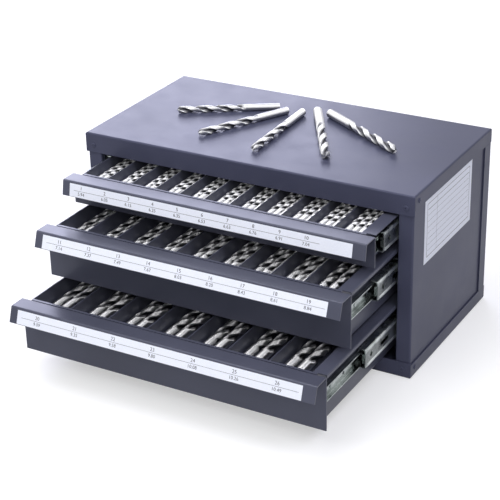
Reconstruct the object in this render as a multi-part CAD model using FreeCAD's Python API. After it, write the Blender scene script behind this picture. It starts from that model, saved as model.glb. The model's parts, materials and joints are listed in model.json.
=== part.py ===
import FreeCAD, Part
import math
import os
from collections import namedtuple

os.makedirs("parts", exist_ok=True)
V = FreeCAD.Vector

# A steel case with three drawers of letter-gauge drill bits.
# Millimetres. X is the width, -Y is the way the drawers open, +Z is up.
# The origin is the middle of the case's footprint, on the surface it stands on.

# ---- Case sheets -----------------------------------------------------------
opening_width = 340.0       # clear width between the two stiles
stile_width = 17.5          # front face of the case beside the opening
case_depth = 196.2
case_sheet = 1.2
bend_radius = 0.6           # inside radius of the sheet bends
seam_gap = 0.25             # air between lapped case sheets
cover_front_drop = 21.0
cover_side_drop = 15.0
base_front_rise = 17.0
base_side_rise = 15.0
back_wrap = 16.6            # how far the back panel folds round onto the sides
stile_return = 6.0          # lip that folds back behind each stile
corner_slit = 0.4           # open corner between two flanges
bracket_toe = 9.0
bracket_inset = 10.0        # slide brackets behind the case's front
bracket_back_inset = 5.0    # and ahead of its back
bracket_rise = 3.0          # over the opening's lower edge
bracket_top_rise = 1.0      # over the opening's upper edge

# ---- Case rivets and side label --------------------------------------------
rivet_shank = 3.0
rivet_fit = 0.1             # hole over shank, on the diameter
rivet_head = 5.0
rivet_head_height = 0.9
head_round_share = 0.6      # round of the head's edge, as a part of its height
rivet_hollow = 1.4
rivet_bulb = 4.4
rivet_bulb_height = 1.2
stile_rivet_inset = 9.2     # from the case's side to a front rivet
base_rivet_rise = 9.3       # front rivets over the case's underside
cover_rivet_drop = 13.1     # front rivets under the case's top
side_rivet_setback = 10.5   # from the case's front to the rivets of the sides
side_label_length = 119.0
side_label_height = 68.6
side_label_front = 28.0     # from the case's front to the label
paper = 0.2

# ---- Drawers ---------------------------------------------------------------
drawer_floor_gap = 2.5      # under the lowest front
drawer_gap = 4.0            # between one drawer's rim and the front above it
drawer_top_gap = 3.0        # over the highest front
drawer_side_gap = 0.3       # at each end of a front, inside the opening
front_sheet = 1.2
tray_sheet = 0.8
handle_reach = 18.0         # shelf ahead of the front's face
handle_drop = 16.0
bin_setback = 4.0           # from the front's face to the bins
drawer_back_gap = 14.0      # from a shut drawer's back to the case's back face
right_ledge = 15.0          # flat strip right of the last bin
ledge_overhang = 9.2        # how far the strip reaches past the drawer's side
ledge_lip = 3.6
divider_sheet = 1.2
divider_drop = 0.4          # divider's top edge below the rim
edge_round_share = 0.4      # round of a divider's top edge, as a part of its sheet
sheet_fit = 0.1             # between sheets that only lie beside each other
label_left_margin = 8.7
label_right_margin = 13.7
label_edge = 0.5

# ---- Slides ----------------------------------------------------------------
slide_thickness = 10.7      # from the drawer's side to the bracket
member_sheet = 1.0
member_bend = 0.4
cabinet_member_height = 27.0
cabinet_member_reach = 8.6
middle_member_height = 20.8
middle_member_reach = 7.4
drawer_member_height = 15.8
drawer_member_reach = 5.2
web_gap = 0.4               # between the cabinet member's and middle member's webs
member_end_gap = 2.0        # each member's end behind or ahead of its neighbour's
drawer_member_front_gap = 1.0
drawer_member_back_gap = 6.0
end_tab_height = 10.0
end_tab_reach = 2.4
ball_gap = 0.1              # over and under each ball
outer_cage_sheet = 0.5
inner_cage_sheet = 0.4
cage_length = 46.0
outer_cage_edge = 0.5       # strip left on each side of a ball
inner_cage_edge = 0.8
cage_fit = 0.05             # round each ball
balls_per_row = 5
member_rivet = 3.0
member_rivet_head = 5.0
member_rivet_head_height = 0.7
member_rivet_inset = 26.0   # from a member's end to its rivet
web_hole = 5.0
web_hole_inset = 13.0
web_slot_length = 16.0
web_slot_height = 4.0
web_slot_inset = 36.0

# ---- Drill bits ------------------------------------------------------------
inch = 25.4
letter_gauge = dict(
    A=0.234, B=0.238, C=0.242, D=0.246, E=0.250, F=0.257, G=0.261, H=0.266, I=0.272,
    J=0.277, K=0.281, L=0.290, M=0.295, N=0.302, O=0.316, P=0.323, Q=0.332, R=0.339,
    S=0.348, T=0.358, U=0.368, V=0.377, W=0.386, X=0.397, Y=0.404, Z=0.413)
bit_base_length = 52.7      # jobber length is about this plus 7.7 diameters
bit_length_per_diameter = 7.7
point_half_angle = math.radians(59.0)
bit_gap = 0.1               # between the bits of a bin that holds three
pair_gap_share = 0.3        # between two bits of a bin, as a part of their diameter
bit_end_gap = 1.0           # from the bin's front to the first shank
bit_stagger = 0.9           # one step of the shanks' uneven ends
stagger_steps = 4
shank_chamfer_share = 0.12  # chamfer of the shank's end, as a part of its radius

Bins = namedtuple("Bins", "left right near far floor rim")
Drawer = namedtuple("Drawer", "name height stock counts bin_depth slide_drop opened "
                              "middle_share handle_lean lipped")
# stock: one letter size for each bin, left to right. The top drawer's last bin is spare.
# counts: how many bits lie in each bin.
# slide_drop: from the drawer's rim down to its cabinet member. opened: how far the
# drawer stands open at rest. middle_share: the middle slide member's part of the travel.
drawers = (
    Drawer("bottom", 57.0, "TUVWXYZ", (2,) * 7, 25.0, 12.0, 150.0, 0.50, 5.5, True),
    Drawer("middle", 57.0, "KLMNOPQRS", (2, 2, 2, 3, 3, 3, 3, 3, 2), 22.0, 12.0, 100.0, 0.50, 5.5, True),
    Drawer("top", 32.5, "ABCDEFGHIJK", (3,) * 11, 16.0, 2.0, 50.0, 0.76, 3.0, False),
)

# Loose bits on the cover: shank end, heading of the point in degrees, letter size.
loose_bits = (
    ((-35.5, 48.8), 211.0, "M"),
    ((-22.6, 42.3), 242.4, "N"),
    ((-5.9, 45.2), 271.7, "O"),
    ((7.9, 52.9), 300.6, "V"),
    ((22.5, 52.8), 328.6, "T"),
)

# ---- Worked out from the sizes above -----------------------------------------
half_opening = opening_width / 2
half_width = half_opening + stile_width
front_y = -case_depth / 2
back_y = case_depth / 2
case_height = (base_front_rise + drawer_floor_gap + sum(d.height for d in drawers)
               + drawer_gap * (len(drawers) - 1) + drawer_top_gap + cover_front_drop)
lap = case_sheet + seam_gap
side_face_x = half_width - lap
stile_face_y = front_y + lap
bracket_front = front_y + bracket_inset
bracket_back = back_y - bracket_back_inset
bracket_low = base_front_rise + bracket_rise
bracket_high = case_height - cover_front_drop + bracket_top_rise
half_front = half_opening - drawer_side_gap
half_tray = half_opening - slide_thickness
cabinet_member_front = bracket_front - member_end_gap
cabinet_member_length = bracket_back - cabinet_member_front
middle_web_x = half_opening - member_sheet - web_gap
outer_row = (cabinet_member_height / 2 - member_sheet + middle_member_height / 2) / 2
inner_row = (middle_member_height / 2 - member_sheet + drawer_member_height / 2) / 2
outer_ball = 2 * (cabinet_member_height / 2 - member_sheet - outer_row - ball_gap)
inner_ball = 2 * (middle_member_height / 2 - member_sheet - inner_row - ball_gap)


def in_plane(plane, u, v):
    return {"XY": V(u, v, 0), "YZ": V(0, u, v), "XZ": V(u, 0, v)}[plane]


def normal_of(plane):
    return {"XY": V(0, 0, 1), "YZ": V(1, 0, 0), "XZ": V(0, 1, 0)}[plane]


def folded(points, sheet, side, plane, start, length, inner=bend_radius):
    """Sheet folded along `points`, which follow one of its faces.

    The metal lies left of the path for side 1 and right of it for side -1.
    """
    path = [V(u, v, 0) for u, v in points]
    heads = [(b - a).normalize() for a, b in zip(path, path[1:])]
    across = [V(-h.y, h.x, 0) * side for h in heads]
    near = [path[0]]
    far = [path[0] + across[0] * sheet]
    bends = []
    for corner, before, after in zip(path[1:-1], heads, heads[1:]):
        turn = math.atan2(before.x * after.y - before.y * after.x, before.dot(after))
        outside = turn * side > 0
        near_radius = inner + sheet if outside else inner
        far_radius = inner if outside else inner + sheet
        reach = near_radius * math.tan(abs(turn) / 2)
        toward = V(-before.y, before.x, 0) * (1 if turn > 0 else -1)
        begin = corner - before * reach
        end = corner + after * reach
        centre = begin + toward * near_radius
        middle = (corner - centre).normalize()
        bends.append((begin, centre + middle * near_radius, end,
                      centre + (begin - centre).normalize() * far_radius,
                      centre + middle * far_radius,
                      centre + (end - centre).normalize() * far_radius))
    near_edges = []
    far_edges = []
    near_at, far_at = near[0], far[0]
    for begin, near_mid, end, far_begin, far_mid, far_end in bends:
        near_edges += [(near_at, begin), (begin, near_mid, end)]
        far_edges += [(far_at, far_begin), (far_begin, far_mid, far_end)]
        near_at, far_at = end, far_end
    last = path[-1]
    far_last = last + across[-1] * sheet
    near_edges.append((near_at, last))
    far_edges.append((far_at, far_last))
    outline = near_edges + [(last, far_last)]
    outline += [tuple(reversed(edge)) for edge in reversed(far_edges)]
    outline.append((far[0], path[0]))
    edges = []
    for edge in outline:
        placed = [in_plane(plane, p.x, p.y) for p in edge]
        if len(placed) == 3:
            edges.append(Part.Arc(*placed).toShape())
        else:
            edges.append(Part.LineSegment(*placed).toShape())
    section = Part.Face(Part.Wire(edges))
    section.translate(normal_of(plane) * start)
    return section.extrude(normal_of(plane) * length)


def block(low, high):
    size = [b - a for a, b in zip(low, high)]
    return Part.makeBox(*size, V(*low))


def rod(radius, start, end):
    axis = V(*end) - V(*start)
    return Part.makeCylinder(radius, axis.Length, V(*start), axis)


def mirrored(shape):
    return shape.mirror(V(0, 0, 0), V(1, 0, 0))


def single(shape):
    return shape.removeSplitter().Solids[0]


def drawer_bases():
    """Height of each drawer's lower edge, from the lowest drawer up."""
    bases = []
    at = base_front_rise + drawer_floor_gap
    for drawer in drawers:
        bases.append(at)
        at += drawer.height + drawer_gap
    return bases


# ---- Case -------------------------------------------------------------------

def front_rivet_spots():
    x = half_width - stile_rivet_inset
    heights = (base_rivet_rise, case_height - cover_rivet_drop)
    return [(side * x, z) for side in (-1, 1) for z in heights]


def side_rivet_spots():
    """Rivets through the side flanges of the tray and the cover, at half their height."""
    y = front_y + side_rivet_setback
    return [(y, z) for z in (base_side_rise / 2 + lap, case_height - cover_side_drop / 2)]


def rivet_holes():
    radius = (rivet_shank + rivet_fit) / 2
    holes = [rod(radius, (x, front_y - 1, z), (x, front_y + 2 * lap, z))
             for x, z in front_rivet_spots()]
    for y, z in side_rivet_spots():
        for side in (-1, 1):
            ends = (side * (half_width + 1), y, z), (side * (half_width - 2 * lap), y, z)
            holes.append(rod(radius, *ends))
    return holes


def flanged_pan(front_height, side_height):
    """Flat sheet with a flange folded up along each edge, standing on Z = 0."""
    outer = block((-half_width, front_y, 0), (half_width, back_y, front_height))
    inner = block((-half_width + case_sheet, front_y + case_sheet, case_sheet),
                  (half_width - case_sheet, back_y - case_sheet, front_height + 1))

    def folds(box, level):
        return [e for e in box.Edges if all(abs(v.Z - level) < 1e-6 for v in e.Vertexes)]

    outer = outer.makeFillet(bend_radius + case_sheet, folds(outer, 0))
    inner = inner.makeFillet(bend_radius, folds(inner, case_sheet))
    pan = outer.cut(inner)
    above = block((-half_width - 1, front_y + case_sheet, side_height),
                  (half_width + 1, back_y + 1, front_height + 1))
    pan = pan.cut(above)
    slit_low = bend_radius + case_sheet
    slits = []
    for y in (front_y + case_sheet, back_y - case_sheet - corner_slit):
        for low_x in (-half_width - 1, half_width - case_sheet - bend_radius):
            high_x = low_x + 1 + case_sheet + bend_radius
            slits.append(block((low_x, y, slit_low),
                               (high_x, y + corner_slit, side_height + 1)))
    return pan.cut(slits)


def top_cover():
    pan = flanged_pan(cover_front_drop, cover_side_drop)
    cover = pan.mirror(V(0, 0, case_height / 2), V(0, 0, 1))
    return single(cover.cut(rivet_holes()))


def base_tray():
    return single(flanged_pan(base_front_rise, base_side_rise).cut(rivet_holes()))


def side_panel():
    """Right-hand side, folded round the front into a stile with a lip behind it."""
    path = [(half_opening, stile_face_y + stile_return), (half_opening, stile_face_y),
            (side_face_x, stile_face_y), (side_face_x, back_y - lap)]
    panel = folded(path, case_sheet, 1, "XY", lap, case_height - 2 * lap)
    return single(panel.cut(rivet_holes()))


def back_panel():
    path = [(half_width, back_y - back_wrap), (half_width, back_y),
            (-half_width, back_y), (-half_width, back_y - back_wrap)]
    low = base_side_rise + seam_gap
    return folded(path, case_sheet, 1, "XY", low,
                  case_height - cover_side_drop - seam_gap - low)


def cabinet_rivet_spots():
    return (cabinet_member_front + member_rivet_inset,
            cabinet_member_front + cabinet_member_length - member_rivet_inset)


def slide_height(drawer, base):
    return base + drawer.height - drawer.slide_drop - cabinet_member_height / 2


def slide_heights():
    return [slide_height(drawer, base) for base, drawer in zip(drawer_bases(), drawers)]


def cabinet_rivet_holes():
    radius = (member_rivet + rivet_fit) / 2
    return [rod(radius, (half_opening - 2 * member_sheet, y, z),
                (half_opening + 2 * case_sheet, y, z))
            for y in cabinet_rivet_spots() for z in slide_heights()]


def slide_bracket():
    """Channel that stands off the right-hand side panel and carries the slides."""
    seat = side_face_x - case_sheet
    path = [(seat, bracket_front + bracket_toe), (seat, bracket_front),
            (half_opening, bracket_front), (half_opening, bracket_back),
            (seat, bracket_back), (seat, bracket_back - bracket_toe)]
    bracket = folded(path, case_sheet, -1, "XY", bracket_low, bracket_high - bracket_low)
    return single(bracket.cut(cabinet_rivet_holes()))


def blind_rivet():
    """Rivet along +Z through two lapped sheets, its head under Z = 0."""
    head = Part.makeCylinder(rivet_head / 2, rivet_head_height, V(0, 0, -rivet_head_height))
    rim = [e for e in head.Edges if len(e.Vertexes) == 1
           and abs(e.Vertexes[0].Z + rivet_head_height) < 1e-6]
    head = head.makeFillet(rivet_head_height * head_round_share, rim)
    hollow = Part.makeCylinder(rivet_hollow / 2, rivet_head_height,
                               V(0, 0, -rivet_head_height))
    through = case_sheet + lap
    shank = Part.makeCylinder(rivet_shank / 2, through)
    bulb = Part.makeCylinder(rivet_bulb / 2, rivet_bulb_height, V(0, 0, through))
    return single(head.fuse([shank, bulb]).cut(hollow))


def turned(shape, direction, place):
    """Copy of a shape made along +Z, laid along `direction` from `place`."""
    copy = shape.copy()
    copy.Placement = FreeCAD.Placement(V(*place), FreeCAD.Rotation(V(0, 0, 1), V(*direction)))
    return copy


def case_rivets():
    rivet = blind_rivet()
    placed = [turned(rivet, (0, 1, 0), (x, front_y, z)) for x, z in front_rivet_spots()]
    for y, z in side_rivet_spots():
        for side in (-1, 1):
            placed.append(turned(rivet, (-side, 0, 0), (side * half_width, y, z)))
    return placed


def side_label():
    low_y = front_y + side_label_front
    high_z = case_height - cover_side_drop - label_edge
    return block((side_face_x, low_y, high_z - side_label_height),
                 (side_face_x + paper, low_y + side_label_length, high_z))


# ---- Slides -------------------------------------------------------------------

def channel(web_x, tip_x, centre_z, height, start, length):
    """C-section along Y: `web_x` is its web's outer face, `tip_x` the flange tips."""
    high, low = centre_z + height / 2, centre_z - height / 2
    path = [(tip_x, high), (web_x, high), (web_x, low), (tip_x, low)]
    side = -1 if web_x > tip_x else 1
    return folded(path, member_sheet, side, "XZ", start, length, member_bend)


def cabinet_member(centre_z):
    member = channel(half_opening, half_opening - cabinet_member_reach, centre_z,
                     cabinet_member_height, cabinet_member_front, cabinet_member_length)
    return single(member.cut(cabinet_rivet_holes()))


def middle_member(centre_z, shift):
    """Middle member, pulled forward by `shift` from its shut place."""
    start = cabinet_member_front + member_end_gap - shift
    length = cabinet_member_length - 2 * member_end_gap
    inner_face = middle_web_x - member_sheet
    member = channel(middle_web_x, middle_web_x - middle_member_reach, centre_z,
                     middle_member_height, start, length)
    tab = block((inner_face - end_tab_reach, start, centre_z - end_tab_height / 2),
                (inner_face + member_sheet / 2, start + member_sheet,
                 centre_z + end_tab_height / 2))
    cuts = []
    across = inner_face - 1, middle_web_x + 1
    for end, way in ((start, 1), (start + length, -1)):
        y = end + way * web_hole_inset
        cuts.append(rod(web_hole / 2, (across[0], y, centre_z), (across[1], y, centre_z)))
        near = end + way * web_slot_inset
        far = near + way * web_slot_length
        for y in (near, far):
            cuts.append(rod(web_slot_height / 2, (across[0], y, centre_z),
                            (across[1], y, centre_z)))
        cuts.append(block((across[0], min(near, far), centre_z - web_slot_height / 2),
                          (across[1], max(near, far), centre_z + web_slot_height / 2)))
    return single(member.fuse(tab).cut(cuts))


def drawer_member_span(shift):
    start = front_y + front_sheet + drawer_member_front_gap - shift
    return start, bracket_back - drawer_member_back_gap - shift


def drawer_rivet_spots(shift):
    start, end = drawer_member_span(shift)
    return start + member_rivet_inset, end - member_rivet_inset


def drawer_member_holes(centre_z, shift, radius):
    return [rod(radius, (half_tray - 2 * tray_sheet, y, centre_z),
                (half_tray + 2 * member_sheet, y, centre_z))
            for y in drawer_rivet_spots(shift)]


def drawer_member(centre_z, shift):
    start, end = drawer_member_span(shift)
    member = channel(half_tray, half_tray + drawer_member_reach, centre_z,
                     drawer_member_height, start, end - start)
    cuts = drawer_member_holes(centre_z, shift, (member_rivet + rivet_fit) / 2)
    for y in (start + 2 * member_rivet_inset, (start + end) / 2, end - 2 * member_rivet_inset):
        cuts.append(rod(web_slot_height / 2, (half_tray - 1, y, centre_z),
                        (half_tray + 2 * member_sheet, y, centre_z)))
    return single(member.cut(cuts))


def flush_rivet(grip):
    """Rivet along +Z, flush at Z = 0, with its head beyond the grip."""
    shank = Part.makeCylinder(member_rivet / 2, grip)
    head = Part.makeCylinder(member_rivet_head / 2, member_rivet_head_height, V(0, 0, grip))
    return single(shank.fuse(head))


def cabinet_member_rivets():
    rivet = flush_rivet(member_sheet + case_sheet)
    placed = []
    for y in cabinet_rivet_spots():
        for z in slide_heights():
            for side in (-1, 1):
                x = side * (half_opening - member_sheet)
                placed.append(turned(rivet, (side, 0, 0), (x, y, z)))
    return placed


def drawer_member_rivets(centre_z, shift):
    rivet = flush_rivet(tray_sheet + member_sheet)
    placed = []
    for y in drawer_rivet_spots(shift):
        for side in (-1, 1):
            x = side * (half_tray - tray_sheet)
            placed.append(turned(rivet, (side, 0, 0), (x, y, centre_z)))
    return placed


def ball_cage(x, z, ball, edge, sheet, shift):
    """One flat strip of caged balls, with the balls loose in their holes."""
    half = ball / 2 + edge
    strip = block((x - half, -cage_length / 2 - shift, z - sheet / 2),
                  (x + half, cage_length / 2 - shift, z + sheet / 2))
    pitch = cage_length / balls_per_row
    spots = [(k - (balls_per_row - 1) / 2) * pitch - shift for k in range(balls_per_row)]
    hole = ball / 2 + cage_fit
    strip = strip.cut([rod(hole, (x, y, z - sheet), (x, y, z + sheet)) for y in spots])
    return [single(strip)] + [Part.makeSphere(ball / 2, V(x, y, z)) for y in spots]


def ball_cages(x, centre_z, row, ball, edge, sheet, shift):
    """The strips over and under one pair of races, on both sides of a drawer."""
    right = ball_cage(x, centre_z + row, ball, edge, sheet, shift)
    right += ball_cage(x, centre_z - row, ball, edge, sheet, shift)
    return right + [mirrored(s) for s in right]


def outer_cages(centre_z, shift):
    x = middle_web_x - middle_member_reach / 2
    return ball_cages(x, centre_z, outer_row, outer_ball, outer_cage_edge, outer_cage_sheet,
                      shift)


def inner_cages(centre_z, shift):
    x = half_tray + drawer_member_reach - inner_ball / 2 - inner_cage_edge - ball_gap
    return ball_cages(x, centre_z, inner_row, inner_ball, inner_cage_edge, inner_cage_sheet,
                      shift)


# ---- Drawers --------------------------------------------------------------------

def handle_face(drawer, face_y, rim):
    """Upper and lower end of the handle's outer face, as (y, z)."""
    top = (face_y - handle_reach, rim)
    return top, (top[0] - drawer.handle_lean, rim - handle_drop)


def drawer_front(drawer, base, shift):
    face_y, rim = front_y - shift, base + drawer.height
    top, lower = handle_face(drawer, face_y, rim)
    path = [(face_y + front_sheet, base), (face_y + front_sheet, rim), top, lower]
    return folded(path, front_sheet, 1, "YZ", -half_front, 2 * half_front)


def drawer_label(drawer, base, shift):
    top, lower = handle_face(drawer, front_y - shift, base + drawer.height)
    start, end = V(0, *top), V(0, *lower)
    down = (end - start).normalize()
    out = V(0, down.z, -down.y)
    first = start + down * (bend_radius + front_sheet + label_edge)
    second = end - down * label_edge
    corners = [first, second, second + out * paper, first + out * paper, first]
    strip = Part.Face(Part.makePolygon(corners))
    strip.translate(V(-half_front + label_left_margin, 0, 0))
    return strip.extrude(V(2 * half_front - label_left_margin - label_right_margin, 0, 0))


def bin_range(drawer, base, shift):
    """Inside of the bins: x limits, y limits, floor height and rim height."""
    left = -half_tray + tray_sheet + sheet_fit
    right = half_tray + ledge_overhang - right_ledge
    near = front_y - shift + bin_setback + sheet_fit
    far = back_y - drawer_back_gap - shift - tray_sheet - sheet_fit
    rim = base + drawer.height
    return Bins(left, right, near, far, rim - drawer.bin_depth, rim)


def drawer_tray(drawer, base, shift):
    face_back = front_y - shift + front_sheet
    wall_back = front_y - shift + bin_setback
    wall_front = wall_back - tray_sheet
    back = back_y - drawer_back_gap - shift
    rim = base + drawer.height
    outer = block((-half_tray, wall_front, base), (half_tray, back, rim))
    inner = block((-half_tray + tray_sheet, wall_back, base + tray_sheet),
                  (half_tray - tray_sheet, back - tray_sheet, rim + 1))

    def folds(box, low_z):
        return [e for e in box.Edges if abs(e.CenterOfMass.z - low_z) < 1e-6
                and e.CenterOfMass.y > wall_back + 1]

    outer = outer.makeFillet(bend_radius + tray_sheet, folds(outer, base))
    inner = inner.makeFillet(bend_radius, folds(inner, base + tray_sheet))
    top_flange = block((-half_tray, face_back, rim - tray_sheet),
                       (half_tray, wall_front + tray_sheet / 2, rim))
    foot = block((-half_tray + 2 * tray_sheet, face_back, base),
                 (half_tray - 2 * tray_sheet, wall_front + tray_sheet / 2, base + tray_sheet))
    ledge_seat = block((half_tray - 2 * tray_sheet, wall_back + sheet_fit, rim - tray_sheet),
                       (half_tray + 1, back - tray_sheet, rim + 1))
    tray = outer.cut(inner).fuse([top_flange, foot]).cut(ledge_seat)
    holes = drawer_member_holes(slide_height(drawer, base), shift, (member_rivet + rivet_fit) / 2)
    return single(tray.cut(holes + [mirrored(h) for h in holes]))


def bin_pan(drawer, base, shift):
    """Raised floor of the bins: a leg on the left, a riser and ledge on the right."""
    bins = bin_range(drawer, base, shift)
    edge = half_tray + ledge_overhang
    foot = base + tray_sheet + bend_radius / 2
    path = [(bins.left, foot), (bins.left, bins.floor), (bins.right, bins.floor),
            (bins.right, bins.rim), (edge, bins.rim)]
    if drawer.lipped:
        path.append((edge, bins.rim - ledge_lip))
    return folded(path, tray_sheet, -1, "XZ", bins.near, bins.far - bins.near)


def bin_walls(drawer, base, shift):
    """Left and right face of each bin, from the leftmost bin."""
    bins = bin_range(drawer, base, shift)
    count = len(drawer.stock)
    pitch = (bins.right - bins.left) / count
    walls = []
    for k in range(count):
        start = bins.left + k * pitch + (divider_sheet / 2 if k else 0)
        end = bins.left + (k + 1) * pitch - (divider_sheet / 2 if k < count - 1 else 0)
        walls.append((start, end))
    return walls


def bin_dividers(drawer, base, shift):
    bins = bin_range(drawer, base, shift)
    top = bins.rim - divider_drop
    dividers = []
    for _, end in bin_walls(drawer, base, shift)[:-1]:
        plate = block((end, bins.near, bins.floor), (end + divider_sheet, bins.far, top))
        ridge = [e for e in plate.Edges if abs(e.CenterOfMass.z - top) < 1e-6
                 and e.Length > divider_sheet * 2]
        dividers.append(plate.makeFillet(divider_sheet * edge_round_share, ridge))
    return dividers


def bit_solid(letter):
    """Jobber drill blank along +Z from its shank end, with its ground point."""
    diameter = letter_gauge[letter] * inch
    radius = diameter / 2
    length = bit_base_length + bit_length_per_diameter * diameter
    chamfer = radius * shank_chamfer_share
    shoulder = length - radius / math.tan(point_half_angle)
    outline = [V(0, 0, 0), V(radius - chamfer, 0, 0), V(radius, 0, chamfer),
               V(radius, 0, shoulder), V(0, 0, length), V(0, 0, 0)]
    profile = Part.Face(Part.makePolygon(outline))
    return profile.revolve(V(0, 0, 0), V(0, 0, 1), 360), diameter


def drawer_bits(drawer, base, shift):
    bins = bin_range(drawer, base, shift)
    walls = bin_walls(drawer, base, shift)
    bits = []
    rows = zip(drawer.stock, drawer.counts, walls)
    for bin_at, (letter, count, (start, end)) in enumerate(rows):
        blank, diameter = bit_solid(letter)
        pitch = diameter + (diameter * pair_gap_share if count == 2 else bit_gap)
        fits = 1 + int((end - start - bit_gap - diameter) / pitch)
        for k in range(min(count, fits)):
            x = start + bit_gap + diameter / 2 + k * pitch
            y = bins.near + bit_end_gap + bit_stagger * ((3 * bin_at + 2 * k) % stagger_steps)
            bits.append(turned(blank, (0, 1, 0), (x, y, bins.floor + diameter / 2)))
    return bits


def cover_bits():
    bits = []
    for (x, y), heading, letter in loose_bits:
        blank, diameter = bit_solid(letter)
        angle = math.radians(heading)
        bits.append(turned(blank, (math.cos(angle), math.sin(angle), 0),
                           (x, y, case_height + diameter / 2)))
    return bits


# ---- Every piece, by name -------------------------------------------------------

def case_pieces():
    side, bracket = side_panel(), slide_bracket()
    pieces = {
        "top_cover": top_cover(),
        "base_tray": base_tray(),
        "back_panel": back_panel(),
        "right_side_panel": side,
        "left_side_panel": mirrored(side),
        "right_slide_bracket": bracket,
        "left_slide_bracket": mirrored(bracket),
        "case_rivets": case_rivets(),
        "side_label": side_label(),
        "cabinet_member_rivets": cabinet_member_rivets(),
        "loose_drill_bits": cover_bits(),
    }
    return pieces


def drawer_pieces(drawer, base):
    """One drawer with its slides, standing open by its own amount."""
    name, shift = drawer.name, drawer.opened
    centre = slide_height(drawer, base)
    middle_shift = shift * drawer.middle_share
    cabinet, middle = cabinet_member(centre), middle_member(centre, middle_shift)
    inner = drawer_member(centre, shift)
    return {
        f"{name}_cabinet_member_right": cabinet,
        f"{name}_cabinet_member_left": mirrored(cabinet),
        f"{name}_middle_member_right": middle,
        f"{name}_middle_member_left": mirrored(middle),
        f"{name}_drawer_member_right": inner,
        f"{name}_drawer_member_left": mirrored(inner),
        f"{name}_drawer_member_rivets": drawer_member_rivets(centre, shift),
        f"{name}_outer_ball_cages": outer_cages(centre, middle_shift / 2),
        f"{name}_inner_ball_cages": inner_cages(centre, (shift + middle_shift) / 2),
        f"{name}_drawer_front": drawer_front(drawer, base, shift),
        f"{name}_drawer_tray": drawer_tray(drawer, base, shift),
        f"{name}_bin_pan": bin_pan(drawer, base, shift),
        f"{name}_bin_dividers": bin_dividers(drawer, base, shift),
        f"{name}_drawer_label": drawer_label(drawer, base, shift),
        f"{name}_drill_bits": drawer_bits(drawer, base, shift),
    }


def main():
    pieces = case_pieces()
    for drawer, base in zip(drawers, drawer_bases()):
        pieces.update(drawer_pieces(drawer, base))
    for name, shape in pieces.items():
        if isinstance(shape, list):
            shape = Part.makeCompound(shape)
        shape.exportStep(f"parts/{name}.step")
    print(len(pieces), "nodes, case height", case_height)


main()
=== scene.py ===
import json
import math

import bmesh
import bpy
from mathutils import Matrix, Vector


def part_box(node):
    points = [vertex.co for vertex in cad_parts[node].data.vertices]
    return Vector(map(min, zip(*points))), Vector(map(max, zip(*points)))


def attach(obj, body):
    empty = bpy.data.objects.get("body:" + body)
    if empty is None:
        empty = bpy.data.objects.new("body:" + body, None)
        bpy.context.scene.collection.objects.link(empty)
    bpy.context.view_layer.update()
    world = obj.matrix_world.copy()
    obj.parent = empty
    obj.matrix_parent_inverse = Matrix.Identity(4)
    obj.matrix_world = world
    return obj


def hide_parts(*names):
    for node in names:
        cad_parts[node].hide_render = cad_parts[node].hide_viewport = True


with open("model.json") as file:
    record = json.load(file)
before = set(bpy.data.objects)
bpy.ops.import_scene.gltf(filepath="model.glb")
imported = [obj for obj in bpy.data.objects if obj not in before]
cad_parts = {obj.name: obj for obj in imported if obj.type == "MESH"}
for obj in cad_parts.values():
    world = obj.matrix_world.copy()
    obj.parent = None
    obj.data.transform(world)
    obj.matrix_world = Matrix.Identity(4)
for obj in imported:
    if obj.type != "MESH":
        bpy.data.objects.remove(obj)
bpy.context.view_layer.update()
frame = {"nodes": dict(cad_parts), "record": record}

# Drill bit drawer case: paint, zinc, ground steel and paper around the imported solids.
# Metres. X is the width, -Y is the way the drawers open, +Z is up.

mm = 0.001
drawers = ("bottom", "middle", "top")

# Bits: those in each drawer, and under "case" the loose ones on top of it
shank_share = {"bottom": 0.27, "middle": 0.23, "top": 0.22, "case": 0.33}
slenderness = {"bottom": 26.3, "middle": 28.6, "top": 31.8, "case": 28.0}   # length in radii
helix_lead = {"bottom": 5.6, "middle": 5.2, "top": 3.8, "case": 5.6}        # in diameters
bit_rings = {"bottom": 46, "middle": 46, "top": 60, "case": 46}
roll_seed = {"bottom": 0, "middle": 1, "top": 2, "case": 7}
bit_sides = 32
shank_rings = 3             # rings kept for the shank, its chamfer among them
point_rings = 4
run_out = 0.07              # share of the length in which the flutes reach full depth
chamfer = 0.12              # at the shank's end, in radii
tip_flat = 0.02             # half width of the point's tip, in radii
point_half_angle = math.radians(59)
keen_edge = math.radians(38)    # from here on an edge is shaded sharp
same_point = 0.001 * mm     # vertices of a solid nearer than this are one

# Radius of the fluted section over half a turn: flute, cutting margin, land and margin
flute_curve = ((0.0, 1.0), (0.05, 0.80), (0.14, 0.50), (0.27, 0.34), (0.40, 0.44),
               (0.50, 0.78), (0.555, 0.955), (0.90, 0.965), (0.93, 1.0), (1.0, 1.0))

# Ball races pressed out of the middle slide members
race_height = 8.1 * mm      # from the web's middle to a race
race_width = 3.4 * mm
race_bulge = 0.3 * mm
race_end = 4.0 * mm         # from the member's end
race_sides = 16
painted_web_shade = 0.50            # painted shade: the web's brightness between the races, as a share of its colour
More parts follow.
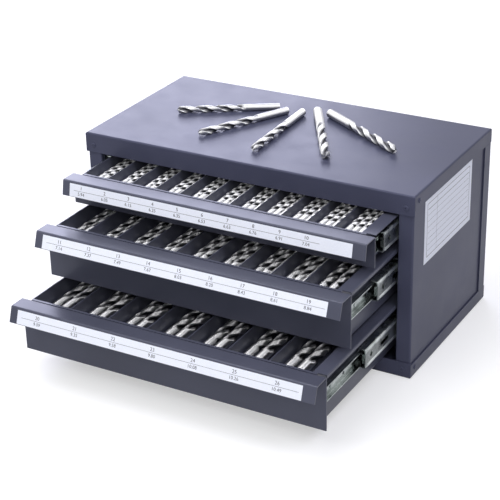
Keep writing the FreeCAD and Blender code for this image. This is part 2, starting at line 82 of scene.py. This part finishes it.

# Drawer labels: running numbers over a rule, bit sizes under it
first_mark = {"top": 1, "middle": 11, "bottom": 20}
bins = {"top": 11, "middle": 9, "bottom": 7}
mark_shift = {"top": -2.8 * mm, "middle": 0.5 * mm, "bottom": -0.9 * mm}   # from a bin's middle
sizes = {
    "top": (5.94, 6.05, 6.15, 6.25, 6.35, 6.53, 6.63, 6.76, 6.91, 7.04),
    "middle": (7.14, 7.37, 7.49, 7.67, 8.03, 8.20, 8.43, 8.61, 8.84),
    "bottom": (9.09, 9.35, 9.58, 9.80, 10.08, 10.26, 10.49),
}
ledge = 15.0 * mm           # flat strip right of the last bin
mark_height, mark_rise = 5.1 * mm, 3.1 * mm
size_height, size_rise = 4.7 * mm, -3.1 * mm
label_rule = 0.3 * mm
rule_start = 5.0 * mm       # from the label's left end
print_height = 0.03 * mm    # ink over the paper
print_weld = 0.002 * mm     # points of the print nearer than this are one
same_way = 0.8              # cosine within which a face looks the same way as the label

# Contents card on the right side
card_margin = 6.0 * mm
card_rows = 9
card_column = 24.0 * mm
card_line, card_thin_line = 0.5 * mm, 0.25 * mm
row_gap = 2.0 * mm          # from a row's rule to the card's frame

# Floor and world
floor_reach = 6.0
floor_drop = 0.2 * mm       # under the case, so that the two don't share a plane
floor_glow = 0.48           # what the floor shows by itself, where it is seen
room_light = 0.25           # the world's light on things; where it is seen it is 1

# Camera: angles about a target point, in degrees, and distance from it
azimuth, elevation, roll = 29.862, 25.934, -1.354
camera_target = (0.00292, -0.0900, 0.09895)
camera_distance = 1.56714
focal_share = 1532.51 / 500     # focal length over the picture's width
sensor = 36.0

# Lamps: name, place, aim, width, height, watts, colour
white, pale_lilac, lilac = (1.0, 1.0, 1.0), (0.88, 0.88, 1.0), (0.77, 0.78, 1.0)
lamps = (
    ("overhead box", (-0.3, -0.3, 1.5), (-0.05, -0.15, 0.15), 0.9, 0.7, 9.0, white),
    ("left rear box", (-1.2, 1.42, 0.98), (-0.1, 0.0, 0.2), 1.15, 1.0, 23.0, lilac),
    ("left front strip", (-0.75, -1.2, 1.2), (-0.1, -0.1, 0.1), 0.3, 0.6, 3.7, white),
    ("right front strip", (0.75, -1.25, 1.1), (0.0, -0.1, 0.1), 0.3, 0.6, 3.7, white),
    ("low front box", (0.2, -1.8, 0.6), (0.0, -0.1, 0.1), 0.6, 0.5, 3.2, white),
    ("right top box", (0.8, -0.2, 1.4), (0.0, -0.1, 0.1), 0.7, 0.7, 7.5, pale_lilac),
    ("over front box", (-0.1, -0.9, 1.4), (0.0, -0.25, 0.1), 0.7, 0.35, 4.5, white),
)


# ---- Nodes -----------------------------------------------------------------------

def wire(tree, socket, value):
    """Links a node's input to another node's output, or sets it to a plain value."""
    if isinstance(value, bpy.types.NodeSocket):
        tree.links.new(value, socket)
    else:
        socket.default_value = value


def add_node(tree, kind, values=(), **settings):
    made = tree.nodes.new(kind)
    for key, value in settings.items():
        setattr(made, key, value)
    for key, value in dict(values).items():
        wire(tree, made.inputs[key], value)
    return made


# ---- Materials -------------------------------------------------------------------

class Finish:
    """One material: its shader, and short calls for the nodes that feed it."""

    def __init__(self, name, **sockets):
        self.material = bpy.data.materials.new(name)
        self.material.use_nodes = True
        self.tree = self.material.node_tree
        self.shader = self.tree.nodes["Principled BSDF"]
        self.place = self.node("ShaderNodeTexCoord").outputs["Object"]
        for socket, value in sockets.items():
            self.shader.inputs[socket.replace("_", " ")].default_value = value

    def node(self, kind, values=(), **settings):
        return add_node(self.tree, kind, values, **settings)

    def noise(self, scale, detail=2.0, stretch=None):
        vector = self.place
        if stretch:
            vector = self.node("ShaderNodeMapping",
                               {"Vector": self.place, "Scale": stretch}).outputs[0]
        return self.node("ShaderNodeTexNoise", {
            "Vector": vector, "Scale": scale, "Detail": detail}).outputs["Fac"]

    def ramp(self, source, low, high, start=0.0, end=1.0):
        return self.node("ShaderNodeMapRange", {
            "Value": source, "From Min": start, "From Max": end,
            "To Min": low, "To Max": high}).outputs[0]

    def blend(self, share, first, second, mode="MIX"):
        return self.node("ShaderNodeMix", {0: share, 6: first, 7: second},
                         data_type="RGBA", blend_type=mode).outputs[2]

    def bump(self, height, strength, distance, under=None):
        values = {"Height": height, "Strength": strength, "Distance": distance}
        if under:
            values["Normal"] = under
        return self.node("ShaderNodeBump", values).outputs[0]

    def feed(self, **sockets):
        for socket, value in sockets.items():
            wire(self.tree, self.shader.inputs[socket.replace("_", " ")], value)
        return self.material


def tone(red, green, blue):
    """Shader colour from the 0 to 255 numbers of a colour chart."""
    def linear(level):
        level /= 255
        return level / 12.92 if level <= 0.04045 else ((level + 0.055) / 1.055) ** 2.4
    return linear(red), linear(green), linear(blue), 1.0


def powder_coat(name, dark, light, roughness, index):
    """Baked powder coat: orange peel, faint clouding, and a sparse fleck of lighter grains."""
    paint = Finish(name, IOR=index, Specular_Tint=(0.84, 0.87, 1.0, 1.0))
    cloud = paint.ramp(paint.noise(9.0, detail=3.0), 0.0, 1.0, start=0.35, end=0.65)
    speck = paint.ramp(paint.noise(1400.0, detail=1.0), 0.0, 0.35, start=0.62, end=0.8)
    colour = paint.blend(speck, paint.blend(cloud, dark, light), light)
    rough = paint.ramp(paint.noise(36.0, detail=4.0), roughness - 0.035, roughness + 0.035,
                       start=0.3, end=0.7)
    peel = paint.bump(paint.noise(620.0), strength=0.16, distance=0.12 * mm)
    grain = paint.bump(paint.noise(2600.0, detail=1.0), strength=0.08, distance=0.05 * mm,
                       under=peel)
    return paint.feed(Base_Color=colour, Roughness=rough, Normal=grain)


def zinc_plate(name, dark, light, roughness, web_middle=None):
    """Bright zinc over rolled strip: faint drawing lines and cloudy passivation.

    With web_middle, the height of a member's middle, its web between the races is darkened by
    painted shade.
    """
    zinc = Finish(name, Metallic=1.0)
    drawn = zinc.noise(1800.0, stretch=(1.0, 0.012, 1.0))
    cloud = zinc.noise(75.0, detail=4.0)
    colour = zinc.blend(zinc.ramp(cloud, 0.0, 1.0, start=0.35, end=0.65), dark, light)
    rough = zinc.ramp(cloud, roughness - 0.04, roughness + 0.08, start=0.3, end=0.7)
    if web_middle is not None:
        height = zinc.node("ShaderNodeSeparateXYZ", {0: zinc.place}).outputs["Z"]
        rise = zinc.node("ShaderNodeMath", {0: height, 1: web_middle}, operation="SUBTRACT")
        from_middle = zinc.node("ShaderNodeMath", {0: rise.outputs[0]}, operation="ABSOLUTE")
        # Painted shade: the web between the races is darkened as if it lay in shade.
        web_shade_factor = zinc.ramp(from_middle.outputs[0], painted_web_shade, 1.0,
                             start=race_height - race_width, end=race_height)
        colour = zinc.blend(1.0, colour, web_shade_factor, "MULTIPLY")
    return zinc.feed(Base_Color=colour, Roughness=rough,
                     Normal=zinc.bump(drawn, strength=0.05, distance=0.02 * mm))


def ground_steel(name):
    """Steel ground round and round, so highlights run out along each bit; painted shade darkens
    the flutes, which are also rougher.
    """
    steel = Finish(name, Metallic=0.96, Anisotropic=1.0)
    depth = steel.node("ShaderNodeAttribute", attribute_name="flute_depth").outputs["Fac"]
    axis = steel.node("ShaderNodeAttribute", attribute_name="heading").outputs["Vector"]
    along = steel.node("ShaderNodeVectorMath", {0: steel.place, 1: axis},
                       operation="DOT_PRODUCT").outputs["Value"]
    rings = steel.node("ShaderNodeTexNoise", {"W": along, "Scale": 2600.0, "Detail": 2.0},
                       noise_dimensions="1D").outputs["Fac"]
    # Painted shade: the colour darkens from the lands into the flutes, where shade falls; the
    # same mask makes the flutes rougher.
    flute_shade_mask = steel.ramp(depth, 0.0, 1.0, start=0.04, end=0.4)
    colour = steel.blend(flute_shade_mask, tone(228, 228, 230), tone(96, 96, 101))
    ground = steel.ramp(rings, 0.52, 0.60, start=0.3, end=0.7)
    rough = steel.node("ShaderNodeMath", {0: steel.ramp(flute_shade_mask, 0.0, 0.1), 1: ground},
                       operation="ADD").outputs[0]
    return steel.feed(Base_Color=colour, Roughness=rough, Tangent=axis,
                      Normal=steel.bump(rings, strength=0.03, distance=0.02 * mm))


def paper_finish(name):
    """Coated label paper with a faint fibre."""
    paper = Finish(name, IOR=1.45)
    fibre = paper.noise(900.0, detail=4.0, stretch=(1.0, 1.0, 3.0))
    colour = paper.blend(paper.ramp(fibre, 0.0, 1.0, start=0.3, end=0.7),
                         tone(226, 230, 243), tone(238, 241, 251))
    return paper.feed(Base_Color=colour, Roughness=paper.ramp(fibre, 0.42, 0.52),
                      Normal=paper.bump(fibre, strength=0.05, distance=0.03 * mm))


def ink_finish(name):
    """Printed ink, thin, with patchy tone and gloss."""
    ink = Finish(name)
    patchy = ink.noise(2200.0)
    return ink.feed(Base_Color=ink.blend(patchy, tone(26, 26, 32), tone(52, 52, 60)),
                    Roughness=ink.ramp(patchy, 0.45, 0.6))


finishes = {
    "case_paint": powder_coat("case powder coat", tone(65, 67, 86), tone(73, 75, 95),
                              0.36, 1.24),
    "drawer_paint": powder_coat("drawer powder coat", tone(67, 69, 83), tone(75, 77, 92),
                                0.32, 1.38),
    "zinc_plate": zinc_plate("zinc plated strip", tone(136, 143, 142), tone(184, 190, 189), 0.2),
    "cage_steel": zinc_plate("ball cage steel", tone(96, 100, 100), tone(140, 144, 144), 0.25),
    "drill_steel": ground_steel("ground drill steel"),
    "paper": paper_finish("label paper"),
}
label_ink = ink_finish("label ink")
# Painted highlight: the races take a lighter zinc than the members they stand on.
race_zinc_painted_highlight = zinc_plate("pressed zinc race with painted highlight", tone(190, 196, 195), tone(228, 232, 231), 0.32)

for row in frame["record"]["subparts"]:
    solid = frame["nodes"][row["node"]].data
    solid.materials.clear()
    solid.materials.append(finishes[row["material_slot"]])

for drawer in drawers:
    members = [f"{drawer}_middle_member_{side}" for side in ("left", "right")]
    # The middle members' zinc carries painted shade on the web between its races.
    low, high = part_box(members[0])
    pressed = zinc_plate(f"{drawer} pressed zinc strip", tone(156, 163, 162),
                         tone(206, 212, 211), 0.26, (low.z + high.z) / 2)
    for member in members:
        frame["nodes"][member].data.materials[0] = pressed


# ---- Geometry Nodes ----------------------------------------------------------------

class Tree:
    """A Geometry Nodes tree with named inputs, and short calls for its nodes."""

    def __init__(self, name, inputs):
        self.group = bpy.data.node_groups.new(name, "GeometryNodeTree")
        self.keys = {}
        face = self.group.interface
        face.new_socket("Geometry", in_out="INPUT", socket_type="NodeSocketGeometry")
        face.new_socket("Geometry", in_out="OUTPUT", socket_type="NodeSocketGeometry")
        for label, kind in inputs:
            made = face.new_socket(label, in_out="INPUT", socket_type=f"NodeSocket{kind}")
            self.keys[label] = made.identifier
        self.start = self.group.nodes.new("NodeGroupInput")
        self.end = self.group.nodes.new("NodeGroupOutput")

    def node(self, kind, values=(), **settings):
        return add_node(self.group, kind, values, **settings)

    def given(self, label):
        """The value that comes in under a label."""
        return self.start.outputs[label]

    def math(self, operation, first, second=0.0, third=None):
        values = {0: first, 1: second}
        if third is not None:
            values[2] = third
        return self.node("ShaderNodeMath", values, operation=operation).outputs[0]

    def share(self, source, start, end, low=0.0, high=1.0, smooth=False):
        """Runs from low to high as the source goes from start to end, and stays there."""
        return self.node("ShaderNodeMapRange", {
            "Value": source, "From Min": start, "From Max": end, "To Min": low, "To Max": high},
            interpolation_type="SMOOTHSTEP" if smooth else "LINEAR").outputs[0]

    def close(self, geometry, material):
        """Ends the tree: its instances are made real and take the finish."""
        real = self.node("GeometryNodeRealizeInstances", {"Geometry": geometry})
        done = self.node("GeometryNodeSetMaterial", {
            "Geometry": real.outputs[0], "Material": material})
        self.group.links.new(done.outputs[0], self.end.inputs["Geometry"])
        return self


def evaluated_mesh(carrier):
    """The mesh that an object's modifiers or outlines give; the object is used up."""
    bpy.context.scene.collection.objects.link(carrier)
    bpy.context.view_layer.update()
    evaluated = carrier.evaluated_get(bpy.context.evaluated_depsgraph_get())
    mesh = bpy.data.meshes.new_from_object(evaluated)
    bpy.data.objects.remove(carrier)
    return mesh


def new_piece(name, mesh):
    piece = bpy.data.objects.new(name, mesh)
    bpy.context.scene.collection.objects.link(piece)
    return piece


def grown(name, mesh, tree, inputs):
    """The plain piece that a tree makes from a mesh of points or lines."""
    carrier = bpy.data.objects.new(name, mesh)
    modifier = carrier.modifiers.new(name, "NODES")
    modifier.node_group = tree.group
    for label, value in inputs.items():
        modifier[tree.keys[label]] = value
    shape = evaluated_mesh(carrier)
    finish = shape.materials[-1]    # the slots before it are the tree's empty ones
    shape.materials.clear()
    shape.materials.append(finish)
    return new_piece(name, shape)


# ---- Drill bits ------------------------------------------------------------------

def flute_section(tree, angle):
    """Radius of the fluted section at an angle, the same for both half turns."""
    around = tree.math("FRACT", tree.math("DIVIDE", angle, math.pi))
    curve = tree.node("ShaderNodeFloatCurve", {"Value": around})
    line = curve.mapping.curves[0]
    line.points[0].location = flute_curve[0]
    line.points[1].location = flute_curve[-1]
    for x, y in flute_curve[1:-1]:
        line.points.new(x, y)
    for point in line.points:
        point.handle_type = "VECTOR"
    curve.mapping.update()
    return curve.outputs[0]


def drill_bit_tree():
    """One fluted bit on each point, sized and turned by the point's own values."""
    tree = Tree("fluted drill bits", (
        ("Sides", "Int"), ("Rings", "Int"), ("Shank share", "Float"), ("Slenderness", "Float"),
        ("Lead in diameters", "Float"), ("Point half angle", "Float"), ("Seed", "Int"),
        ("Steel", "Material")))
    blank = tree.node("GeometryNodeMeshCylinder", {
        "Vertices": tree.given("Sides"), "Side Segments": tree.given("Rings"),
        "Radius": 1.0, "Depth": 1.0}).outputs["Mesh"]
    place = tree.node("ShaderNodeSeparateXYZ", {
        "Vector": tree.node("GeometryNodeInputPosition").outputs[0]})
    along = tree.math("ADD", place.outputs["Z"], 0.5)
    ring = tree.math("DIVIDE", 1.0, tree.given("Rings"))

    # The blank's rings are shared out over the chamfer, the shank, the flutes and the point.
    slender = tree.given("Slenderness")
    slope = tree.math("TANGENT", tree.given("Point half angle"))
    point = tree.math("DIVIDE", tree.math("DIVIDE", 1.0, slope), slender)
    bevel = tree.math("DIVIDE", chamfer, slender)
    shank = tree.given("Shank share")
    knots = [0.0, ring, tree.math("MULTIPLY", ring, shank_rings),
             tree.math("SUBTRACT", 1.0, tree.math("MULTIPLY", ring, point_rings)), 1.0]
    spans = [bevel, tree.math("SUBTRACT", shank, bevel),
             tree.math("SUBTRACT", tree.math("SUBTRACT", 1.0, point), shank), point]
    height = 0.0
    for start, end, span in zip(knots, knots[1:], spans):
        height = tree.math("ADD", height, tree.share(along, start, end, 0.0, span))

    angle = tree.math("ADD", tree.math("ARCTAN2", place.outputs["Y"], place.outputs["X"]),
                      2 * math.pi)
    section = flute_section(tree, angle)
    sunk = tree.share(height, shank, tree.math("ADD", shank, run_out), smooth=True)
    depth = tree.math("MULTIPLY", tree.math("SUBTRACT", 1.0, section), sunk)
    fluted = tree.math("SUBTRACT", 1.0, depth)
    shank_end = tree.share(along, 0.0, ring, 1.0 - chamfer, 1.0)
    cone = tree.math("MULTIPLY", tree.math("MULTIPLY", tree.math("SUBTRACT", 1.0, height),
                                           slender), slope)
    radius = tree.math("MINIMUM", tree.math("MINIMUM", fluted, shank_end),
                       tree.math("MAXIMUM", cone, tip_flat))
    lead_in_radii = tree.math("MULTIPLY", tree.given("Lead in diameters"), 2.0)
    fluted_length = tree.math("MAXIMUM", tree.math("SUBTRACT", height, shank), 0.0)
    turns = tree.math("DIVIDE", tree.math("MULTIPLY", fluted_length, slender), lead_in_radii)
    turned = tree.math("MULTIPLY_ADD", turns, 2 * math.pi, angle)
    position = tree.node("ShaderNodeCombineXYZ", {
        "X": tree.math("MULTIPLY", radius, tree.math("COSINE", turned)),
        "Y": tree.math("MULTIPLY", radius, tree.math("SINE", turned)),
        "Z": height}).outputs[0]
    # The depth is kept before the surface moves, because it is read from the blank.
    kept = tree.node("GeometryNodeStoreNamedAttribute", {
        "Geometry": blank, "Name": "flute_depth", "Value": depth},
        data_type="FLOAT", domain="POINT").outputs[0]
    shaped = tree.node("GeometryNodeSetPosition", {"Geometry": kept, "Position": position})
    smooth = tree.node("GeometryNodeSetShadeSmooth", {
        "Geometry": shaped.outputs[0], "Shade Smooth": True}, domain="FACE")
    keen = tree.math("GREATER_THAN", tree.node("GeometryNodeInputMeshEdgeAngle").outputs[0],
                     keen_edge)
    edges = tree.node("GeometryNodeSetShadeSmooth", {
        "Geometry": smooth.outputs[0], "Selection": keen, "Shade Smooth": False}, domain="EDGE")

    def of_point(name):
        return tree.node("GeometryNodeInputNamedAttribute", {"Name": name},
                         data_type="FLOAT_VECTOR").outputs[0]

    aligned = tree.node("FunctionNodeAlignRotationToVector", {
        "Vector": of_point("heading")}, axis="Z").outputs[0]
    turn = tree.node("FunctionNodeRandomValue", {
        2: 0.0, 3: 2 * math.pi, "Seed": tree.given("Seed")}, data_type="FLOAT").outputs[1]
    spin = tree.node("FunctionNodeAxisAngleToRotation", {
        "Axis": (0.0, 0.0, 1.0), "Angle": turn}).outputs[0]
    rotation = tree.node("FunctionNodeRotateRotation", {
        "Rotation": aligned, "Rotate By": spin}, rotation_space="LOCAL").outputs[0]
    placed = tree.node("GeometryNodeInstanceOnPoints", {
        "Points": tree.given("Geometry"), "Instance": edges.outputs[0],
        "Rotation": rotation, "Scale": of_point("size")})
    return tree.close(placed.outputs[0], tree.given("Steel"))


def solid_spots(node):
    """Shank end, heading, length and radius of each straight bit among a node's solids."""
    mesh = bmesh.new()
    mesh.from_mesh(frame["nodes"][node].data)
    bmesh.ops.remove_doubles(mesh, verts=mesh.verts, dist=same_point)
    seen, spots = set(), []
    for first in mesh.verts:
        if first in seen:
            continue
        group, queue = [], [first]
        seen.add(first)
        while queue:
            vert = queue.pop()
            group.append(vert)
            for edge in vert.link_edges:
                other = edge.other_vert(vert)
                if other not in seen:
                    seen.add(other)
                    queue.append(other)
        spots.append(bit_axis(group))
    mesh.free()
    return spots


def bit_axis(group):
    """A bit's tip is the vertex most edges meet at; the middle of the rest is on its axis."""
    tip = max(group, key=lambda vert: len(vert.link_edges))
    rest = [vert.co for vert in group if vert is not tip]
    middle = sum(rest, Vector()) / len(rest)
    axis = (tip.co - middle).normalized()
    length = max((tip.co - p).dot(axis) for p in rest)
    shank = tip.co - axis * length
    radius = max(((p - shank) - axis * (p - shank).dot(axis)).length for p in rest)
    return shank, axis, length, radius


def fluted_bits(name, node, body, tree, group):
    """Fluted bits in the places of a node's plain ones; group is a drawer or the case."""
    spots = solid_spots(node)
    points = bpy.data.meshes.new(name)
    points.from_pydata([shank for shank, _, _, _ in spots], [], [])
    headings = [axis for _, axis, _, _ in spots]
    scales = [(radius, radius, length) for _, _, length, radius in spots]
    for label, rows in (("heading", headings), ("size", scales)):
        values = points.attributes.new(label, "FLOAT_VECTOR", "POINT")
        values.data.foreach_set("vector", [number for row in rows for number in row])
    piece = grown(name, points, tree, {
        "Sides": bit_sides, "Rings": bit_rings[group], "Shank share": shank_share[group],
        "Slenderness": slenderness[group], "Lead in diameters": helix_lead[group],
        "Point half angle": point_half_angle, "Seed": roll_seed[group],
        "Steel": finishes["drill_steel"]})
    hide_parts(node)
    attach(piece, body)


# ---- Slides ----------------------------------------------------------------------

def race_tree():
    """A flat round rail along each edge of a mesh of lines, standing half in the sheet."""
    tree = Tree("pressed ball races", (
        ("Width", "Float"), ("Bulge", "Float"), ("Sides", "Int"), ("Zinc", "Material")))
    lines = tree.node("GeometryNodeMeshToCurve", {"Mesh": tree.given("Geometry")})
    ring = tree.node("GeometryNodeCurvePrimitiveCircle", {
        "Resolution": tree.given("Sides"), "Radius": 1.0}, mode="RADIUS")
    flat = tree.node("ShaderNodeCombineXYZ", {
        "X": tree.given("Bulge"), "Y": tree.math("MULTIPLY", tree.given("Width"), 0.5),
        "Z": 1.0}).outputs[0]
    section = tree.node("GeometryNodeTransform", {
        "Geometry": ring.outputs["Curve"], "Scale": flat})
    rails = tree.node("GeometryNodeCurveToMesh", {
        "Curve": lines.outputs[0], "Profile Curve": section.outputs[0], "Fill Caps": True})
    return tree.close(rails.outputs[0], tree.given("Zinc"))


def ball_races(drawer, tree):
    """The upper and lower race of both middle members, on the outside of their webs."""
    spots, lines = [], []
    for side in ("left", "right"):
        low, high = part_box(f"{drawer}_middle_member_{side}")
        x = low.x if side == "left" else high.x
        for way in (-1, 1):
            z = (low.z + high.z) / 2 + way * race_height
            lines.append((len(spots), len(spots) + 1))
            spots += [(x, low.y + race_end, z), (x, high.y - race_end, z)]
    name = f"{drawer}_ball_races"
    mesh = bpy.data.meshes.new(name)
    mesh.from_pydata(spots, lines, [])
    piece = grown(name, mesh, tree, {
        "Width": race_width, "Bulge": race_bulge, "Sides": race_sides, "Zinc": race_zinc_painted_highlight})
    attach(piece, f"{drawer}_middle_members")


# ---- Printing on the labels --------------------------------------------------------

def printed_words(words, height):
    """Closed mesh of a line of print, centred on the origin and facing +Z."""
    outline = bpy.data.curves.new("print", "FONT")
    outline.body = words
    outline.size = height
    outline.align_x = "CENTER"
    outline.align_y = "CENTER"
    outline.resolution_u = 3
    outline.extrude = print_height / 2
    mesh = evaluated_mesh(bpy.data.objects.new("print", outline))
    letters = bmesh.new()
    letters.from_mesh(mesh)
    bmesh.ops.remove_doubles(letters, verts=letters.verts, dist=print_weld)
    bmesh.ops.dissolve_degenerate(letters, edges=letters.edges, dist=print_weld)
    bmesh.ops.recalc_face_normals(letters, faces=letters.faces)
    letters.to_mesh(mesh)
    letters.free()
    mesh.materials.clear()
    return mesh


def printed_rule(length, thickness):
    mesh = bpy.data.meshes.new("rule")
    bar = bmesh.new()
    bmesh.ops.create_cube(bar, size=1.0, matrix=Matrix.Diagonal(
        (length, thickness, print_height, 1.0)))
    bar.to_mesh(mesh)
    bar.free()
    return mesh


def laid(mesh, centre, across, up):
    """Lays a flat mesh with its X along `across` and its Y along `up`."""
    out = across.cross(up)
    place = Matrix((across, up, out)).transposed().to_4x4()
    place.translation = centre + out * print_height / 2
    mesh.transform(place)
    return mesh


def printed(name, meshes, body):
    """One printed piece from several flat meshes, which are used up."""
    whole = bmesh.new()
    for mesh in meshes:
        whole.from_mesh(mesh)
        bpy.data.meshes.remove(mesh)
    data = bpy.data.meshes.new(name)
    whole.to_mesh(data)
    whole.free()
    data.materials.append(label_ink)
    piece = new_piece(name, data)
    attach(piece, body)


def paper_face(node, outward):
    """Middle and outward normal of a label's printed face."""
    mesh = frame["nodes"][node].data
    faces = [p for p in mesh.polygons if p.normal.dot(outward) > same_way]
    out = max(faces, key=lambda p: p.area).normal.copy()
    spots = [mesh.vertices[i].co for p in faces for i in p.vertices]
    low = Vector([min(s[axis] for s in spots) for axis in range(3)])
    high = Vector([max(s[axis] for s in spots) for axis in range(3)])
    return (low + high) / 2, out


def drawer_print(drawer):
    """Running bin numbers over a rule and metric bit sizes under it."""
    label = f"{drawer}_drawer_label"
    low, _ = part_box(label)
    pan_low, pan_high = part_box(f"{drawer}_bin_pan")
    middle, out = paper_face(label, Vector((0, -1, 0)))
    across = Vector((1, 0, 0))
    up = out.cross(across)
    left = pan_low.x
    pitch = (pan_high.x - ledge - left) / bins[drawer]

    def spot(x, rise):
        return Vector((x, middle.y, middle.z)) + up * rise

    meshes = []
    for k, size in enumerate(sizes[drawer]):
        x = left + (k + 0.5) * pitch + mark_shift[drawer]
        for words, height, rise in ((str(first_mark[drawer] + k), mark_height, mark_rise),
                                    (f"{size:.2f}", size_height, size_rise)):
            meshes.append(laid(printed_words(words, height), spot(x, rise), across, up))
    start = low.x + rule_start
    end = left + len(sizes[drawer]) * pitch + mark_shift[drawer]
    meshes.append(laid(printed_rule(end - start, label_rule), spot((start + end) / 2, 0.0),
                       across, up))
    printed(f"{drawer}_label_print", meshes, f"{drawer}_drawer")


def side_print():
    """A blank contents card: a frame, a heading bar and ruled rows."""
    low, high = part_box("side_label")
    across, up = Vector((0, 1, 0)), Vector((0, 0, 1))
    middle, _ = paper_face("side_label", Vector((1, 0, 0)))
    width = high.y - low.y - 2 * card_margin
    height = high.z - low.z - 2 * card_margin
    meshes = []

    def rule(length, thickness, centre):
        meshes.append(laid(printed_rule(length, thickness), centre, across, up))

    for side in (-1, 1):
        rule(width, card_line, middle + up * side * height / 2)
        rule(card_line, height, middle + across * side * width / 2)
    for k in range(1, card_rows):
        rule(width - 2 * row_gap, card_line if k == 1 else card_thin_line,
             middle + up * (height / 2 - k * height / card_rows))
    rule(card_thin_line, height, middle + across * (card_column - width / 2))
    printed("side_label_print", meshes, "case")


bits = drill_bit_tree()
for drawer in drawers:
    fluted_bits(f"{drawer}_fluted_bits", f"{drawer}_drill_bits", f"{drawer}_drawer", bits, drawer)
fluted_bits("loose_fluted_bits", "loose_drill_bits", "case", bits, "case")
races = race_tree()
for drawer in drawers:
    ball_races(drawer, races)
    drawer_print(drawer)
side_print()


# ---- Floor, light and camera ---------------------------------------------------------

def seen_directly(tree):
    """1 for what the camera sees straight on or in a reflection, 0 for light on things."""
    path = add_node(tree, "ShaderNodeLightPath")
    total = path.outputs["Is Camera Ray"]
    for other in ("Is Glossy Ray", "Is Transmission Ray"):
        total = add_node(tree, "ShaderNodeMath", {0: total, 1: path.outputs[other]},
                         operation="MAXIMUM").outputs[0]
    return total


def studio_floor():
    mesh = bpy.data.meshes.new("floor")
    mesh.from_pydata([(-floor_reach, -floor_reach, 0), (floor_reach, -floor_reach, 0),
                      (floor_reach, floor_reach, 0), (-floor_reach, floor_reach, 0)],
                     [], [(0, 1, 2, 3)])
    floor = new_piece("floor", mesh)
    floor.location.z = -floor_drop
    material = bpy.data.materials.new("studio floor")
    material.use_nodes = True
    tree = material.node_tree
    shader = tree.nodes["Principled BSDF"]
    glow = add_node(tree, "ShaderNodeMath", {0: seen_directly(tree), 1: floor_glow},
                    operation="MULTIPLY").outputs[0]
    for socket, value in (("Base Color", (0.58, 0.58, 0.59, 1)), ("Roughness", 0.55),
                          ("Specular IOR Level", 0.2), ("Emission Color", (1, 1, 1, 1)),
                          ("Emission Strength", glow)):
        wire(tree, shader.inputs[socket], value)
    mesh.materials.append(material)


def studio_world():
    world = bpy.data.worlds.new("studio")
    bpy.context.scene.world = world
    world.use_nodes = True
    tree = world.node_tree
    background = tree.nodes["Background"]
    background.inputs["Color"].default_value = (1, 1, 1, 1)
    level = add_node(tree, "ShaderNodeMapRange", {
        "Value": seen_directly(tree), "To Min": room_light, "To Max": 1.0})
    wire(tree, background.inputs["Strength"], level.outputs[0])


def softbox(name, place, aim, width, height, watts, colour):
    light = bpy.data.lights.new(name, "AREA")
    light.shape, light.color = "RECTANGLE", colour
    light.size, light.size_y, light.energy = width, height, watts
    lamp = bpy.data.objects.new(name, light)
    lamp.location = place
    lamp.rotation_euler = (Vector(aim) - Vector(place)).to_track_quat("-Z", "Y").to_euler()
    bpy.context.scene.collection.objects.link(lamp)


def studio_camera():
    """Camera turned round its target by azimuth and elevation, then rolled."""
    turn, lift, lean = (math.radians(angle) for angle in (azimuth, elevation, roll))
    back = Vector((math.sin(turn) * math.cos(lift), -math.cos(turn) * math.cos(lift),
                   math.sin(lift)))
    level = (-back).cross(Vector((0, 0, 1))).normalized()
    upright = level.cross(-back)
    right = math.cos(lean) * level + math.sin(lean) * upright
    up = math.cos(lean) * upright - math.sin(lean) * level
    data = bpy.data.cameras.new("camera")
    data.sensor_width, data.lens = sensor, focal_share * sensor
    data.clip_start, data.clip_end = 0.05, 50.0
    camera = bpy.data.objects.new("camera", data)
    place = Matrix((right, up, back)).transposed().to_4x4()
    place.translation = Vector(camera_target) + back * camera_distance
    camera.matrix_world = place
    bpy.context.scene.collection.objects.link(camera)
    bpy.context.scene.camera = camera


studio_floor()
studio_world()
for lamp in lamps:
    softbox(*lamp)
studio_camera()
bpy.context.scene.view_settings.view_transform = "Standard"
